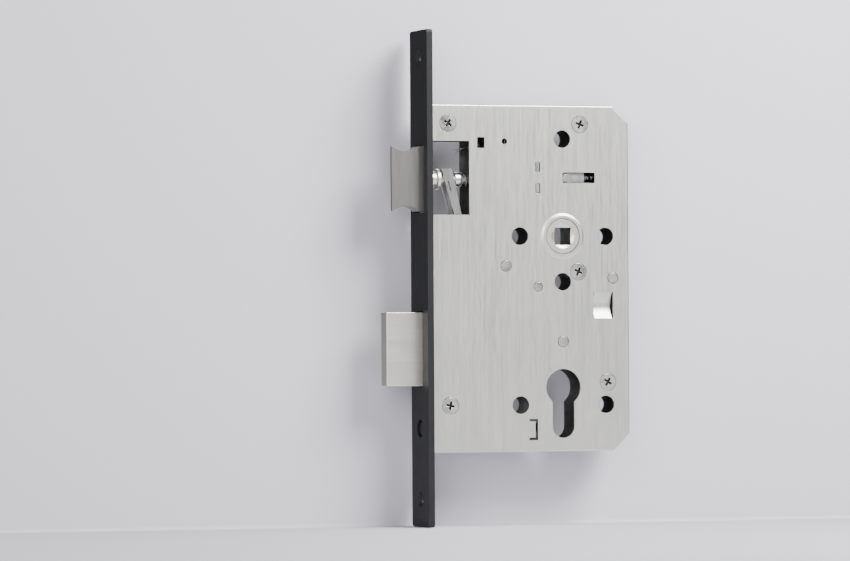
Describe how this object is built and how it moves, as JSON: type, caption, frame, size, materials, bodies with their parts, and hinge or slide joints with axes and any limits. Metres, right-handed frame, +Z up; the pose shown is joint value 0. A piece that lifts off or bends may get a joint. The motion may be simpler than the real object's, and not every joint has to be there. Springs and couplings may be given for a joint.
{
  "type": "mortise_lock",
  "caption": "Narrow case mortise lock for a hinged door: black forend, bevelled latch head, dead bolt, lever follower and profile cylinder opening, with its inner works",
  "frame": {"origin": "middle of the forend's front face", "axes": "+X from the forend into the door, -Y towards the cover and its screws, +Z up the door"},
  "size_m": [0.122, 0.024, 0.235],
  "materials": {
    "black_coat": "matte black powder coat",
    "brushed_steel": "sheet steel with a fine upright grain",
    "satin_nickel": "satin nickel plate",
    "zinc_plate": "bright zinc plate",
    "bright_screw": "nickel plate",
    "spring_steel": "drawn spring wire",
    "pressed_steel": "pressed steel, lightly oiled",
    "black_screw": "blackened steel"
  },
  "bodies": {
    "case": {"forend": "black_coat", "case_tray": "brushed_steel", "cover_plate": "brushed_steel", "latch_spring": "spring_steel", "lever_spring": "spring_steel", "spring_post": "zinc_plate", "follower_spring": "spring_steel", "tumbler_spring": "spring_steel", "lever_pin": "zinc_plate", "back_pin": "zinc_plate", "bolt_guide_pin": "zinc_plate", "tumbler_pin": "zinc_plate", "rod_guide": "zinc_plate", "cylinder_screw": "black_screw", "forend_stud_top": "zinc_plate", "forend_stud_middle": "zinc_plate", "forend_stud_bottom": "zinc_plate", "cover_screw_top_front": "bright_screw", "screw_post_top_front": "zinc_plate", "cover_screw_top_back": "bright_screw", "screw_post_top_back": "zinc_plate", "cover_screw_middle": "bright_screw", "screw_post_middle": "zinc_plate", "cover_screw_bottom_front": "bright_screw", "screw_post_bottom_front": "zinc_plate", "cover_screw_bottom_back": "bright_screw", "screw_post_bottom_back": "zinc_plate"},
    "latch": {"latch_head": "satin_nickel", "latch_pin": "zinc_plate", "latch_rod": "satin_nickel", "latch_collar": "zinc_plate"},
    "latch_lever": {"latch_lever": "pressed_steel"},
    "follower": {"follower": "satin_nickel"},
    "draw_link": {"draw_link": "pressed_steel"},
    "slide": {"spring_slide": "satin_nickel"},
    "change_lever": {"change_lever": "pressed_steel"},
    "dead_bolt": {"deadbolt_head": "satin_nickel", "bolt_tail": "zinc_plate", "bolt_rivet_upper": "zinc_plate", "bolt_rivet_lower": "zinc_plate"},
    "tumbler": {"tumbler": "pressed_steel"}
  },
  "joints": [
    {"name": "latch_slide", "type": "slide", "parent": "case", "child": "latch", "axis": [1, 0, 0], "range_m": [0, 0.015], "stiffness_N_per_m": 400, "springref_m": -0.012, "deforming": ["latch_spring"]},
    {"name": "follower_turn", "type": "hinge", "parent": "case", "child": "follower", "pos_m": [0.07, 0, 0.02], "axis": [0, 1, 0], "range_deg": [0, 38.5]},
    {"name": "latch_lever_turn", "type": "hinge", "parent": "case", "child": "latch_lever", "pos_m": [0.0412, 0, 0.0059], "axis": [0, 1, 0], "range_deg": [0, 21.5]},
    {"name": "draw_link_turn", "type": "hinge", "parent": "follower", "child": "draw_link", "pos_m": [0.07, 0, 0.0325], "axis": [0, 1, 0], "range_deg": [-30, 0]},
    {"name": "spring_slide_travel", "type": "slide", "parent": "case", "child": "slide", "axis": [1, 0, 0], "range_m": [0, 0.0125], "deforming": ["follower_spring"]},
    {"name": "change_lever_turn", "type": "hinge", "parent": "case", "child": "change_lever", "pos_m": [0.0957, 0, 0.0001], "axis": [0, 1, 0], "range_deg": [-12, 0]},
    {"name": "dead_bolt_slide", "type": "slide", "parent": "case", "child": "dead_bolt", "axis": [1, 0, 0], "range_m": [0, 0.018]},
    {"name": "tumbler_turn", "type": "hinge", "parent": "case", "child": "tumbler", "pos_m": [0.0575, 0, -0.004], "axis": [0, 1, 0], "range_deg": [0, 8], "stiffness_Nm_per_rad": 0.02, "springref_deg": -20.05}
  ],
  "couplings": [
    {"joint": "follower_turn", "follows": "latch_slide", "rad_per_m": 44.79},
    {"joint": "latch_lever_turn", "follows": "latch_slide", "rad_per_m": 24.231},
    {"joint": "draw_link_turn", "follows": "latch_slide", "rad_per_m": -34.552},
    {"joint": "spring_slide_travel", "follows": "latch_slide", "ratio": 0.81966},
    {"joint": "change_lever_turn", "follows": "latch_slide", "rad_per_m": -13.437}
  ]
}
